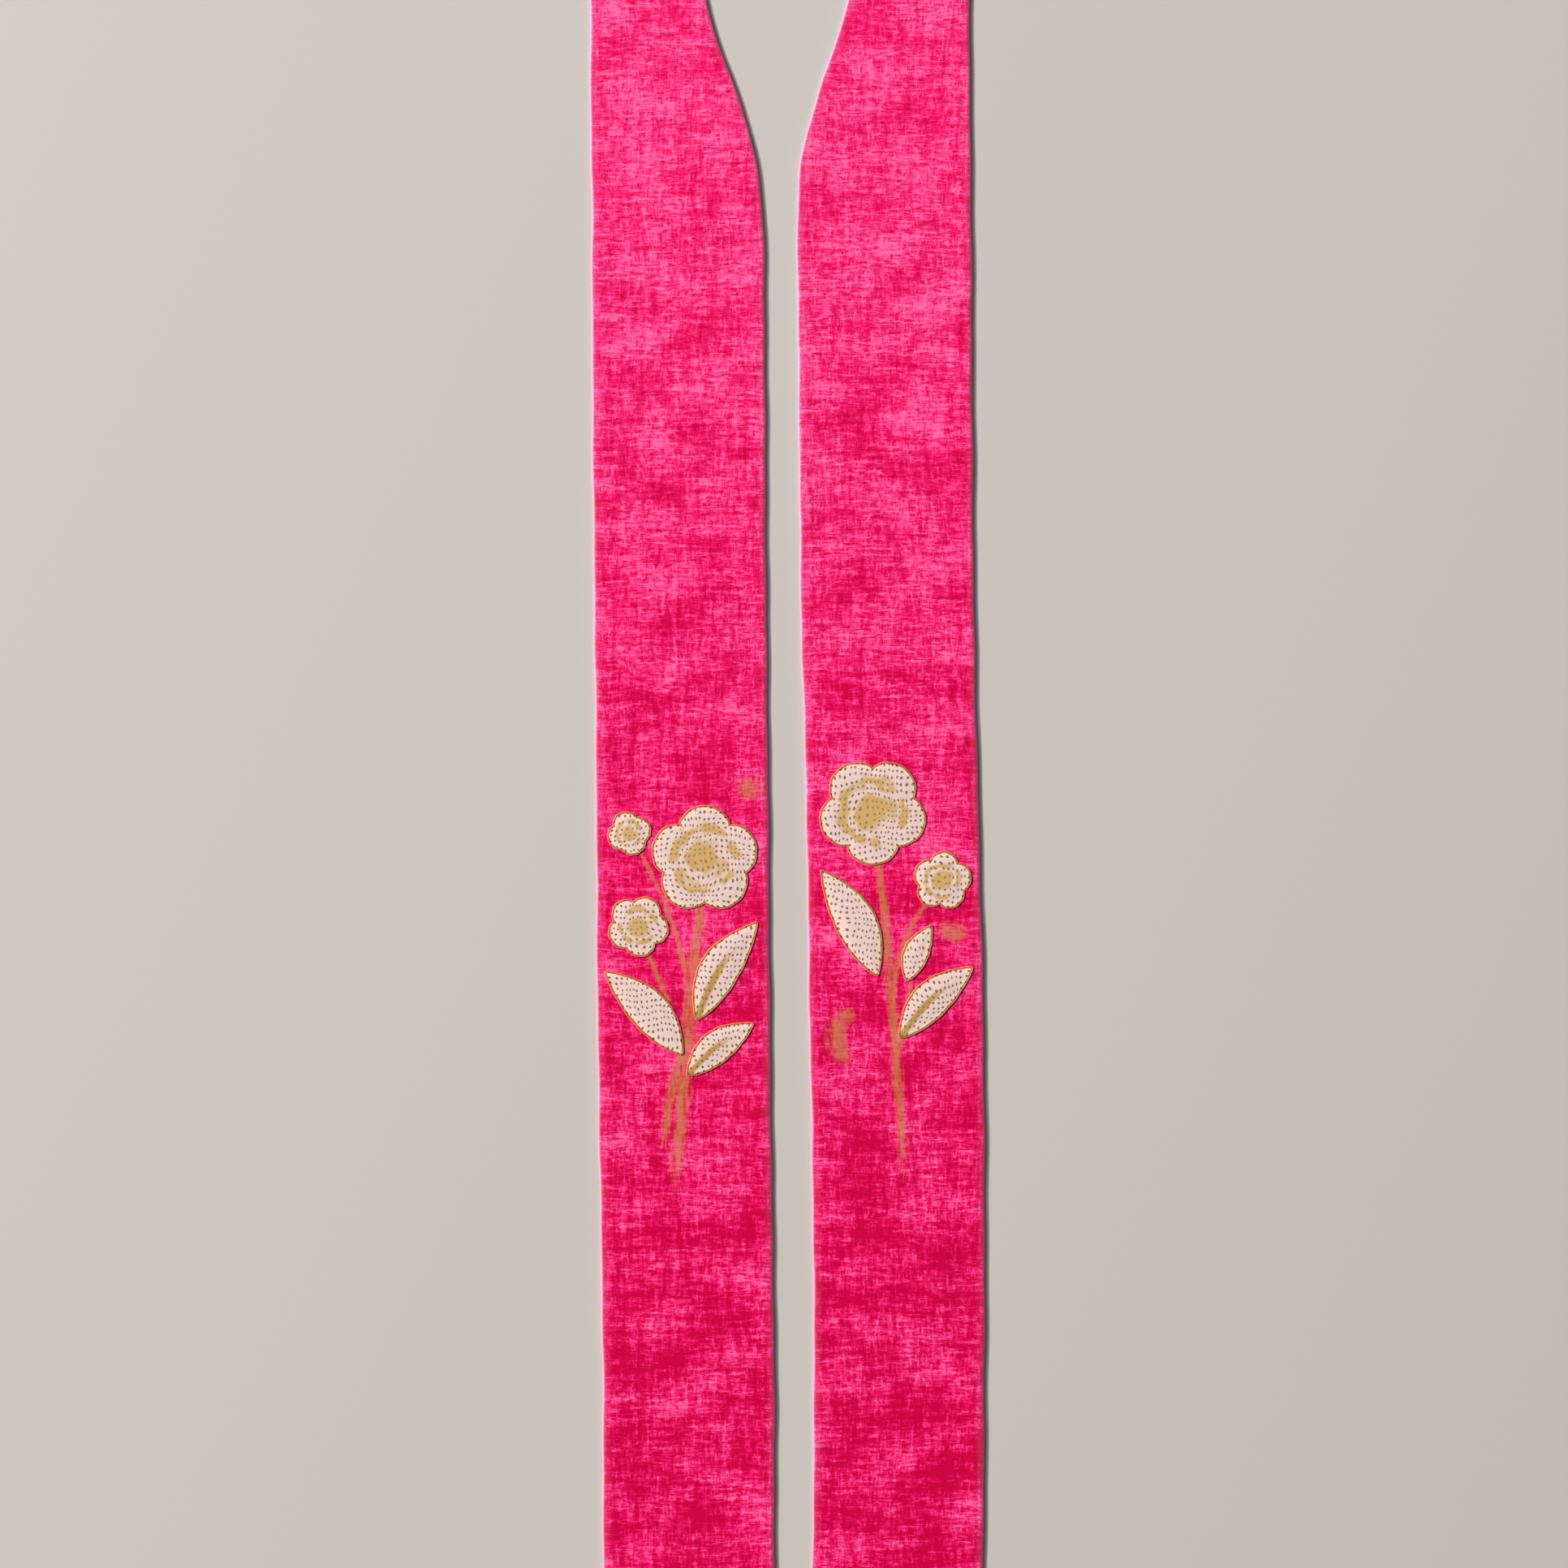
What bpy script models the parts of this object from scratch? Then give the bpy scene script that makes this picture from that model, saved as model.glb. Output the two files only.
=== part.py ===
"""A clerical stole of hot-pink cotton, laid flat on its back, front face up.

Each half is one flat turned tube of cloth, seamed to the other half at the centre back of the
neck. On each front lies a spray of blossoms and leaves cut from a dotted cotton. Metres, +Z up,
+Y towards the neck; the origin is under the middle of the stole, on the surface it lies on.
"""

import math
from collections import namedtuple

import bmesh
import bpy
from mathutils import Vector
from mathutils.bvhtree import BVHTree

# The neck: a flat ring around a centre that lies above the fronts
NECK_INNER = 0.0550
NECK_OUTER = 0.1310
HEM_BELOW = 1.1763
SEAM_GAP = 0.0003

# The edges of the two fronts, measured down from the neck's centre and out from its middle line
Edge = namedtuple("Edge", "below left_inner left_outer right_inner right_outer")
EDGES = (
    Edge(0.0000, 0.0550, 0.1310, 0.0550, 0.1310),
    Edge(0.0310, 0.0543, 0.1310, 0.0526, 0.1315),
    Edge(0.0620, 0.0497, 0.1308, 0.0467, 0.1318),
    Edge(0.0930, 0.0404, 0.1307, 0.0370, 0.1318),
    Edge(0.1120, 0.0331, 0.1307, 0.0303, 0.1318),
    Edge(0.1300, 0.0264, 0.1306, 0.0247, 0.1319),
    Edge(0.1480, 0.0207, 0.1303, 0.0191, 0.1321),
    Edge(0.1660, 0.0163, 0.1301, 0.0149, 0.1324),
    Edge(0.1840, 0.0135, 0.1298, 0.0132, 0.1327),
    Edge(0.2110, 0.0112, 0.1295, 0.0124, 0.1329),
    Edge(0.2430, 0.0101, 0.1295, 0.0123, 0.1330),
    Edge(0.3440, 0.0096, 0.1292, 0.0134, 0.1335),
    Edge(0.4790, 0.0089, 0.1279, 0.0147, 0.1346),
    Edge(0.6130, 0.0075, 0.1267, 0.0184, 0.1376),
    Edge(0.7480, 0.0065, 0.1260, 0.0203, 0.1410),
    Edge(0.8830, 0.0050, 0.1239, 0.0228, 0.1420),
    Edge(1.0170, 0.0032, 0.1220, 0.0236, 0.1418),
    Edge(HEM_BELOW, 0.0034, 0.1220, 0.0222, 0.1406),
)

# The cloth's cross-section: height of the top face at each distance in from a folded edge.
# The seam allowances turned inside thicken the outer centimetre.
Step = namedtuple("Step", "inward top")
FOLD_STEPS = (
    Step(0.0000, 0.00105),
    Step(0.0004, 0.00170),
    Step(0.0013, 0.00225),
    Step(0.0040, 0.00258),
    Step(0.0085, 0.00262),
    Step(0.0125, 0.00236),
    Step(0.0180, 0.00220),
)
SEAM_STEPS = (
    Step(0.0000, 0.00185),
    Step(0.0012, 0.00236),
    Step(0.0040, 0.00260),
    Step(0.0085, 0.00262),
    Step(0.0125, 0.00236),
    Step(0.0180, 0.00220),
)
MIDDLE_SHARES = (0.30, 0.42, 0.54, 0.68)
UNDERSIDE_TUCK = (Step(0.0004, 0.00035), Step(0.0012, 0.0))
CORNER_RADIUS = 0.0026
SIDE_STEP = 0.025
RING_SECTIONS = 11

# Slow swells of the cloth where it lies a little off the surface
Swell = namedtuple("Swell", "length heading shift height")
SWELLS = (
    Swell(0.230, 82.0, 0.4, 0.00022),
    Swell(0.148, 64.0, 2.1, 0.00016),
    Swell(0.125, 118.0, 4.0, 0.00012),
)
SWELL_START = 0.012
SWELL_FULL = 0.030

# The applique pieces: flat cut cloth that lies on the fronts
APPLIQUE_GAP = 0.0003
APPLIQUE_THICKNESS = 0.0010
SPRAY_BELOW = {"left": 0.7170, "right": 0.6907}
BLOSSOM_RINGS = (1.0, 0.84, 0.58, 0.29)
BLOSSOM_NOTCH = 0.21
PETAL_ROUNDNESS = 0.75
LEAF_RINGS = (1.0, 0.62, 0.3)
LEAF_POINTS = 26
LEAF_FULLEST = 0.92
LEAF_TAPER = 0.85

# Places are across from the front's middle line and up from the spray's centre
Blossom = namedtuple("Blossom", "name side across up radius petals turn points")
BLOSSOMS = (
    Blossom("left_large_blossom", "left", 0.0150, 0.0650, 0.0370, 5, 90.0, 50),
    Blossom("left_middle_blossom", "left", -0.0310, 0.0190, 0.0210, 5, 62.0, 40),
    Blossom("left_small_blossom", "left", -0.0370, 0.0830, 0.0150, 4, 20.0, 32),
    Blossom("right_large_blossom", "right", -0.0150, 0.0720, 0.0370, 5, 54.0, 50),
    Blossom("right_middle_blossom", "right", 0.0330, 0.0240, 0.0200, 5, 12.0, 40),
)
Leaf = namedtuple("Leaf", "name side across up length width turn bend")
LEAVES = (
    Leaf("left_upper_leaf", "left", 0.0305, -0.0120, 0.0790, 0.0270, 58.0, 0.005),
    Leaf("left_side_leaf", "left", -0.0270, -0.0410, 0.0780, 0.0270, 133.0, -0.004),
    Leaf("left_lower_leaf", "left", 0.0260, -0.0660, 0.0580, 0.0220, 38.0, 0.003),
    Leaf("right_side_leaf", "right", -0.0310, -0.0050, 0.0820, 0.0280, 118.0, -0.004),
    Leaf("right_upper_leaf", "right", 0.0170, -0.0260, 0.0420, 0.0170, 66.0, 0.002),
    Leaf("right_lower_leaf", "right", 0.0290, -0.0600, 0.0700, 0.0250, 44.0, 0.004),
)


def widest(side):
    """The farthest that one front's outer edge reaches from the neck's middle line."""
    return max(getattr(edge, side + "_outer") for edge in EDGES)


# The origin lies under the middle of the whole stole
NECK_X = (widest("left") - widest("right")) / 2
NECK_Y = (HEM_BELOW - NECK_OUTER) / 2


def clear_scene():
    for item in list(bpy.data.objects):
        bpy.data.objects.remove(item, do_unlink=True)


def cloth_material(name, colour, roughness):
    material = bpy.data.materials.new(name)
    material.use_nodes = True
    shader = material.node_tree.nodes["Principled BSDF"]
    shader.inputs["Base Color"].default_value = (*colour, 1.0)
    shader.inputs["Roughness"].default_value = roughness
    shader.inputs["Metallic"].default_value = 0.0
    return material


def smooth_column(column, below):
    """Reads one column of EDGES at a depth, on a smooth curve through its rows."""
    depths = [edge.below for edge in EDGES]
    values = [getattr(edge, column) for edge in EDGES]
    last = len(depths) - 1
    row = 0
    while row < last - 1 and below > depths[row + 1]:
        row += 1

    def slope(index):
        before = max(index - 1, 0)
        after = min(index + 1, last)
        return (values[after] - values[before]) / (depths[after] - depths[before])

    span = depths[row + 1] - depths[row]
    share = (below - depths[row]) / span
    start_weight = 2 * share**3 - 3 * share**2 + 1
    start_slope = (share**3 - 2 * share**2 + share) * span
    end_slope = (share**3 - share**2) * span
    return (
        start_weight * values[row]
        + (1 - start_weight) * values[row + 1]
        + start_slope * slope(row)
        + end_slope * slope(row + 1)
    )


def read_steps(steps, inward):
    """The height of the top face at a distance in from an edge."""
    for near, far in zip(steps, steps[1:]):
        if inward < far.inward:
            share = (inward - near.inward) / (far.inward - near.inward)
            return near.top + share * (far.top - near.top)
    return steps[-1].top


def swell_height(x, y):
    total = 0.0
    for swell in SWELLS:
        heading = math.radians(swell.heading)
        along = x * math.cos(heading) + y * math.sin(heading)
        total += swell.height * math.sin(2 * math.pi * along / swell.length + swell.shift)
    return total


def top_height(x, y, to_side, to_hem, to_seam):
    """The top face's height: folds and the seam shape it, and slow swells lift it between them."""
    to_fold = min(to_side, to_hem)
    seam_change = read_steps(SEAM_STEPS, to_seam) - SEAM_STEPS[-1].top
    height = read_steps(FOLD_STEPS, to_fold) + seam_change
    nearest = min(to_fold, to_seam)
    fullness = (nearest - SWELL_START) / (SWELL_FULL - SWELL_START)
    return height + min(max(fullness, 0.0), 1.0) * swell_height(x, y)


def section_points(inner, outer, to_hem, to_seam):
    """One closed ring of points around the cloth, from its inner fold to its outer fold."""
    width = (outer - inner).length
    across = (outer - inner) / width
    edge_places = [step.inward for step in FOLD_STEPS]
    middle_places = [share * width for share in MIDDLE_SHARES]
    places = edge_places + middle_places + [width - place for place in reversed(edge_places)]
    points = []
    for place in places:
        spot = inner + across * place
        height = top_height(spot.x, spot.y, min(place, width - place), to_hem, to_seam)
        points.append(Vector((spot.x, spot.y, height)))
    tuck = [step.inward for step in UNDERSIDE_TUCK]
    for place in [width - value for value in tuck] + list(reversed(tuck)):
        spot = inner + across * place
        lift = 0.0
        for step in UNDERSIDE_TUCK:
            if min(place, width - place, to_hem) <= step.inward:
                lift = max(lift, step.top)
        points.append(Vector((spot.x, spot.y, lift)))
    return points


def ring_sections(direction):
    """The band around the back of the neck, from the centre-back seam round to the front."""
    middle_radius = (NECK_INNER + NECK_OUTER) / 2
    seam_angles = [step.inward / middle_radius for step in SEAM_STEPS]
    quarter = math.pi / 2
    remaining = quarter - seam_angles[-1]
    even_angles = [seam_angles[-1] + remaining * count / RING_SECTIONS for count in range(1, RING_SECTIONS)]
    sections = []
    for angle in seam_angles + even_angles:
        outward = Vector((direction * math.sin(angle), math.cos(angle)))
        centre = Vector((NECK_X, NECK_Y))
        if angle == 0.0:
            centre.x += direction * SEAM_GAP / 2
        to_seam = angle * middle_radius
        inner = centre + outward * NECK_INNER
        outer = centre + outward * NECK_OUTER
        sections.append(section_points(inner, outer, HEM_BELOW, to_seam))
    return sections


def front_depths():
    """Depths of the sections down a front: even steps between the table's rows, fine at the hem."""
    hem_steps = [step.inward for step in reversed(FOLD_STEPS)]
    depths = []
    for upper, lower in zip(EDGES, EDGES[1:]):
        end = lower.below
        if end == HEM_BELOW:
            end -= hem_steps[0]
        count = math.ceil((end - upper.below) / SIDE_STEP)
        for index in range(count):
            depths.append(upper.below + (end - upper.below) * index / count)
    return depths + [HEM_BELOW - inward for inward in hem_steps]


def corner_inset(to_hem):
    """How far the rounded hem corners draw the side edges in."""
    if to_hem >= CORNER_RADIUS:
        return 0.0
    return CORNER_RADIUS - math.sqrt(CORNER_RADIUS**2 - (CORNER_RADIUS - to_hem) ** 2)


def front_edges(side, direction, below):
    inner = smooth_column(side + "_inner", below)
    outer = smooth_column(side + "_outer", below)
    y = NECK_Y - below
    return Vector((NECK_X + direction * inner, y)), Vector((NECK_X + direction * outer, y))


def front_sections(side, direction):
    middle_radius = (NECK_INNER + NECK_OUTER) / 2
    sections = []
    for below in front_depths():
        inner, outer = front_edges(side, direction, below)
        to_hem = HEM_BELOW - below
        inset = Vector((direction * corner_inset(to_hem), 0.0))
        to_seam = middle_radius * math.pi / 2 + below
        sections.append(section_points(inner + inset, outer - inset, to_hem, to_seam))
    return sections


def loft(name, sections, material, collection):
    """Joins rings of points into one closed body with a flat cap at each end."""
    shape = bmesh.new()
    rings = [[shape.verts.new(point) for point in section] for section in sections]
    for ring, following in zip(rings, rings[1:]):
        count = len(ring)
        for index in range(count):
            after = (index + 1) % count
            shape.faces.new((ring[index], ring[after], following[after], following[index]))
    shape.faces.new(rings[0])
    shape.faces.new(rings[-1])
    bmesh.ops.recalc_face_normals(shape, faces=shape.faces)
    bmesh.ops.triangulate(shape, faces=shape.faces)
    mesh = bpy.data.meshes.new(name)
    shape.to_mesh(mesh)
    shape.free()
    mesh.materials.append(material)
    mesh.shade_smooth()
    piece = bpy.data.objects.new(name, mesh)
    collection.objects.link(piece)
    return piece


def make_half(side, direction, material, collection):
    sections = ring_sections(direction) + front_sections(side, direction)
    return loft("stole_" + side + "_half", sections, material, collection)


def blossom_outline(blossom):
    """Round petals that meet in notches, as offsets from the blossom's centre."""
    outline = []
    for index in range(blossom.points):
        angle = 2 * math.pi * index / blossom.points
        lobe = abs(math.cos(blossom.petals * angle / 2)) ** PETAL_ROUNDNESS
        reach = blossom.radius * (1 - BLOSSOM_NOTCH + BLOSSOM_NOTCH * lobe)
        turned = angle + math.radians(blossom.turn)
        outline.append(Vector((reach * math.cos(turned), reach * math.sin(turned))))
    return outline


def leaf_outline(leaf):
    """A pointed oval about a bowed midrib, as offsets from the leaf's centre."""
    turn = math.radians(leaf.turn)
    half_count = LEAF_POINTS // 2
    outline = []
    for index in range(LEAF_POINTS):
        side = -1 if index < half_count else 1
        share = index / half_count if side < 0 else 2 - index / half_count
        along = (share - 0.5) * leaf.length
        half_width = 0.5 * leaf.width * math.sin(math.pi * share**LEAF_FULLEST) ** LEAF_TAPER
        bow = leaf.bend * math.sin(math.pi * share)
        away = side * half_width + bow
        x = along * math.cos(turn) - away * math.sin(turn)
        y = along * math.sin(turn) + away * math.cos(turn)
        outline.append(Vector((x, y)))
    return outline


def spray_place(side, direction, across, up):
    """A point of a front's spray, from the front's own middle line at the spray's centre."""
    inner, outer = front_edges(side, direction, SPRAY_BELOW[side])
    middle = (inner + outer) / 2
    return middle + Vector((across, up))


def make_applique(name, centre, outline, rings, cloth_top, material, collection):
    """Cut cloth on the front: rings of the outline dropped on the cloth, thickened upwards."""

    def drop(spot):
        hit = cloth_top.ray_cast(Vector((spot.x, spot.y, 1.0)), Vector((0.0, 0.0, -1.0)))[0]
        return Vector((spot.x, spot.y, hit.z + APPLIQUE_GAP))

    shape = bmesh.new()
    loops = [[shape.verts.new(drop(centre + offset * scale)) for offset in outline] for scale in rings]
    count = len(outline)
    for loop, inner_loop in zip(loops, loops[1:]):
        for index in range(count):
            after = (index + 1) % count
            shape.faces.new((loop[index], loop[after], inner_loop[after], inner_loop[index]))
    heart = shape.verts.new(drop(centre))
    for index in range(count):
        shape.faces.new((loops[-1][index], loops[-1][(index + 1) % count], heart))
    mesh = bpy.data.meshes.new(name)
    shape.to_mesh(mesh)
    shape.free()
    mesh.materials.append(material)
    piece = bpy.data.objects.new(name, mesh)
    collection.objects.link(piece)
    wall = piece.modifiers.new("cloth wall", "SOLIDIFY")
    wall.thickness = APPLIQUE_THICKNESS
    wall.offset = 1.0
    return piece


def build_stole():
    clear_scene()
    collection = bpy.data.collections.new("clerical_stole")
    bpy.context.scene.collection.children.link(collection)
    pink_cotton = cloth_material("pink cotton", (0.80, 0.03, 0.17), 0.85)
    dotted_cotton = cloth_material("dotted cotton", (0.85, 0.66, 0.60), 0.85)
    directions = {"left": -1, "right": 1}
    tops = {}
    for side, direction in directions.items():
        half = make_half(side, direction, pink_cotton, collection)
        corners = [vertex.co for vertex in half.data.vertices]
        faces = [tuple(face.vertices) for face in half.data.polygons]
        tops[side] = BVHTree.FromPolygons(corners, faces)
    for blossom in BLOSSOMS:
        centre = spray_place(blossom.side, directions[blossom.side], blossom.across, blossom.up)
        outline = blossom_outline(blossom)
        make_applique(
            blossom.name, centre, outline, BLOSSOM_RINGS, tops[blossom.side], dotted_cotton, collection
        )
    for leaf in LEAVES:
        centre = spray_place(leaf.side, directions[leaf.side], leaf.across, leaf.up)
        outline = leaf_outline(leaf)
        make_applique(leaf.name, centre, outline, LEAF_RINGS, tops[leaf.side], dotted_cotton, collection)


build_stole()
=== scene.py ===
"""A clerical stole of hot-pink linen-look cotton, laid flat, with dotted applique flowers."""

import math
from collections import namedtuple

import bpy
import numpy as np
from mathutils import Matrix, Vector


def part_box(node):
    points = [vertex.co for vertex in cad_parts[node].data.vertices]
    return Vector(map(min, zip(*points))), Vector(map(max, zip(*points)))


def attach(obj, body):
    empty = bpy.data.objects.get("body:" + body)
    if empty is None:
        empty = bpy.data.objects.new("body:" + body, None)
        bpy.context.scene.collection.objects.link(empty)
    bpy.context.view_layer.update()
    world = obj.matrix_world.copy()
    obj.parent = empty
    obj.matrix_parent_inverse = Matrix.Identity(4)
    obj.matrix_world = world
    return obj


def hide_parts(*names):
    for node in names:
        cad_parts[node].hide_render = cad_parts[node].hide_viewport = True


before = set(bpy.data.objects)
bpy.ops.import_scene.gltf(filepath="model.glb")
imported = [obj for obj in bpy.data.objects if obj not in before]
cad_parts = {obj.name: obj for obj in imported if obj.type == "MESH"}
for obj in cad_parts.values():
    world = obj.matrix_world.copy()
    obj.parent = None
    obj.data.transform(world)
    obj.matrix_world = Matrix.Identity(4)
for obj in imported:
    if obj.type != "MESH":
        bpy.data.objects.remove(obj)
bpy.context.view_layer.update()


# THE TWO HALVES
# Each half is one strip of cloth, front and back, sewn right sides together, turned and pressed
# flat. The halves meet in a seam at the centre back of the neck. Sizes are in metres.

NECK_INNER = 0.0550
NECK_OUTER = 0.1310
left_low, left_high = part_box("stole_left_half")
right_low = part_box("stole_right_half")[0]
NECK_X = (left_high.x + right_low.x) / 2
NECK_Y = left_high.y - NECK_OUTER
HEM_BELOW = NECK_Y - left_low.y
SEAM_HALF_GAP = 0.00008

# A half's middle line: a quarter ring from the centre-back seam, then straight down to the hem
RING_RADIUS = (NECK_INNER + NECK_OUTER) / 2
RING_LENGTH = RING_RADIUS * math.pi / 2
HALF_LENGTH = RING_LENGTH + HEM_BELOW

# Distances of each front's two edges from the neck's middle line, at depths below its centre
Edge = namedtuple("Edge", "below left_inner left_outer right_inner right_outer")
EDGES = (
    Edge(0.0000, 0.0550, 0.1310, 0.0550, 0.1310),
    Edge(0.0310, 0.0543, 0.1310, 0.0526, 0.1315),
    Edge(0.0620, 0.0497, 0.1308, 0.0467, 0.1318),
    Edge(0.0930, 0.0404, 0.1307, 0.0370, 0.1318),
    Edge(0.1120, 0.0331, 0.1307, 0.0303, 0.1318),
    Edge(0.1300, 0.0264, 0.1306, 0.0247, 0.1319),
    Edge(0.1480, 0.0207, 0.1303, 0.0191, 0.1321),
    Edge(0.1660, 0.0163, 0.1301, 0.0149, 0.1324),
    Edge(0.1840, 0.0135, 0.1298, 0.0132, 0.1327),
    Edge(0.2110, 0.0112, 0.1295, 0.0124, 0.1329),
    Edge(0.2430, 0.0101, 0.1295, 0.0123, 0.1330),
    Edge(0.3440, 0.0096, 0.1292, 0.0134, 0.1335),
    Edge(0.4790, 0.0089, 0.1279, 0.0147, 0.1346),
    Edge(0.6130, 0.0075, 0.1267, 0.0184, 0.1376),
    Edge(0.7480, 0.0065, 0.1260, 0.0203, 0.1410),
    Edge(0.8830, 0.0050, 0.1239, 0.0228, 0.1420),
    Edge(1.0170, 0.0032, 0.1220, 0.0236, 0.1418),
    Edge(1.1763, 0.0034, 0.1220, 0.0222, 0.1406),
)
DIRECTION = {"left": -1, "right": 1}

# The cloth's height between its folds, the round of a fold, and the ridge of the allowances
CLOTH_TOP = 0.00220
FOLD_MIDDLE = 0.00100
FOLD_ROUND = 0.00280
RIDGE_HEIGHT = 0.00012
RIDGE_IN = 0.0030
RIDGE_FULL = 0.0060
RIDGE_OUT = 0.0088
RIDGE_END = 0.0128
RIDGE_UNEVEN = 0.25
RIDGE_WAVE = 0.0117
RIDGE_DRIFT = 0.041
CORNER_RADIUS = 0.0026

# The low swells that a long strip keeps when it is laid down
Swell = namedtuple("Swell", "length heading shift height")
SWELLS = (
    Swell(0.230, 82.0, 0.4, 0.00022),
    Swell(0.148, 64.0, 2.1, 0.00016),
    Swell(0.125, 118.0, 4.0, 0.00012),
)
SWELL_START = 0.012
SWELL_FULL = 0.030

# Short puckers that run in from a pressed edge, as sums of waves along it
Pucker = namedtuple("Pucker", "length shift height")
PUCKERS = (
    Pucker(0.0193, 0.3, 0.000050),
    Pucker(0.0127, 1.9, 0.000045),
    Pucker(0.0311, 4.2, 0.000060),
    Pucker(0.0087, 2.6, 0.000022),
)
PUCKER_LEAN = 0.35
PUCKER_START = 0.0006
PUCKER_FULL = 0.004
PUCKER_FADE = 0.006
PUCKER_REACH = 0.022
OUTER_SHIFT = 1.3

# How far a pressed edge strays from its drawn line, in waves that die out at a half's ends
WOBBLE = 0.00022
WOBBLE_START = 0.010
WOBBLE_FULL = 0.050
Wave = namedtuple("Wave", "length shift")
INNER_WAVES = (Wave(0.0091, 1.0), Wave(0.0213, 0.0))
OUTER_WAVES = (Wave(0.0107, 0.0), Wave(0.0187, 2.0))


def smooth_edge(column, below):
    """Reads one column of EDGES at an array of depths, on a smooth curve through its rows."""
    depths = np.array([edge.below for edge in EDGES])
    values = np.array([getattr(edge, column) for edge in EDGES])
    after = np.minimum(np.arange(len(depths)) + 1, len(depths) - 1)
    before = np.maximum(np.arange(len(depths)) - 1, 0)
    slopes = (values[after] - values[before]) / (depths[after] - depths[before])
    row = np.clip(np.searchsorted(depths, below, side="right") - 1, 0, len(depths) - 2)
    span = depths[row + 1] - depths[row]
    share = (below - depths[row]) / span
    first = 2 * share**3 - 3 * share**2 + 1
    bend = (share**3 - 2 * share**2 + share) * slopes[row]
    bend += (share**3 - share**2) * slopes[row + 1]
    return first * values[row] + (1 - first) * values[row + 1] + bend * span


def ramp(value, start, end):
    """A smooth step from 0 at start to 1 at end."""
    share = np.clip((value - start) / (end - start), 0.0, 1.0)
    return share * share * (3 - 2 * share)


def both_edges(side, below):
    return smooth_edge(side + "_inner", below), smooth_edge(side + "_outer", below)


def swell_height(x, y):
    total = np.zeros_like(x)
    for swell in SWELLS:
        heading = math.radians(swell.heading)
        along = x * math.cos(heading) + y * math.sin(heading)
        total += swell.height * np.sin(2 * math.pi * along / swell.length + swell.shift)
    return total


def pucker_height(along, to_edge, shift):
    total = np.zeros_like(along)
    for pucker in PUCKERS:
        lean = along + PUCKER_LEAN * to_edge
        total += pucker.height * np.sin(2 * math.pi * lean / pucker.length + pucker.shift + shift)
    risen = ramp(to_edge, PUCKER_START, PUCKER_FULL)
    return total * risen * ramp(to_edge, PUCKER_REACH, PUCKER_FADE)


def cloth_heights(x, y, along, place, width, to_end):
    """The top and underside heights of a half, from the distances to its edges and ends."""
    to_side = np.minimum(place, width - place)
    to_edge = np.minimum(to_side, to_end)
    ridge = ramp(to_edge, RIDGE_IN, RIDGE_FULL) * ramp(to_edge, RIDGE_END, RIDGE_OUT)
    drift = 3.0 * np.sin(along / RIDGE_DRIFT)
    irregular = 1.0 + RIDGE_UNEVEN * np.sin(along / RIDGE_WAVE + drift)
    top = CLOTH_TOP + RIDGE_HEIGHT * ridge * irregular
    top += ramp(to_edge, SWELL_START, SWELL_FULL) * swell_height(x, y)
    top += pucker_height(along, place, 0.0) + pucker_height(along, width - place, OUTER_SHIFT)
    short = np.clip(1.0 - to_edge / FOLD_ROUND, 0.0, 1.0)
    fullness = np.sqrt(1.0 - short**2)
    under = FOLD_MIDDLE * (1.0 - fullness)
    return FOLD_MIDDLE + (top - FOLD_MIDDLE) * fullness, under


def front_top(side, x, y):
    """The height of a front's upper face at points of it, for what is laid on the cloth."""
    below = NECK_Y - y
    away = DIRECTION[side] * (x - NECK_X)
    inner, outer = both_edges(side, below)
    along = below + RING_LENGTH
    return cloth_heights(x, y, along, away - inner, outer - inner, HEM_BELOW - below)[0]


# Steps in from a folded edge, close together round the fold, then across the allowance
fold_steps = FOLD_ROUND * (1 - np.cos(np.linspace(0, math.pi / 2, 7)))
allowance_steps = np.array([3.6, 4.4, 5.6, 7.0, 8.8, 10.6, 12.4, 14.4, 17.0]) / 1000
edge_steps = np.concatenate([fold_steps, allowance_steps])
MIDDLE_COLUMNS = 24

# Distances along a half's middle line, from its centre-back seam to its hem
STATION_STEP = 0.0027
even_count = round((HALF_LENGTH - 2 * edge_steps[-1]) / STATION_STEP)
even_steps = np.linspace(edge_steps[-1], HALF_LENGTH - edge_steps[-1], even_count)
half_stations = np.concatenate([edge_steps, even_steps[1:-1], HALF_LENGTH - edge_steps[::-1]])

UV_STRIPS = 4
UV_MARGIN = 0.012
UV_TOP_START = 0.345
CLOTH_MERGE = 0.000004


def points_of(mesh):
    """A mesh's points, a row of x, y and z for each."""
    places = np.zeros(len(mesh.vertices) * 3)
    mesh.vertices.foreach_get("co", places)
    return places.reshape(-1, 3)


def store(mesh, name, values):
    """Stores a number or a vector at each point of a mesh, for its material to read."""
    kind, field = ("FLOAT", "value") if values.ndim == 1 else ("FLOAT_VECTOR", "vector")
    mesh.attributes.new(name, kind, "POINT").data.foreach_set(field, values.ravel())


def grid_piece(name, columns, rows):
    """A grid primitive, with the column and the row that each of its points is on."""
    bpy.ops.object.select_all(action="DESELECT")
    bpy.ops.mesh.primitive_grid_add(x_subdivisions=columns, y_subdivisions=rows, size=1.0)
    piece = bpy.context.object
    piece.name = name
    flat = points_of(piece.data)
    column = np.rint((flat[:, 0] + 0.5) * columns).astype(int)
    row = np.rint((flat[:, 1] + 0.5) * rows).astype(int)
    return piece, column, row


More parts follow.
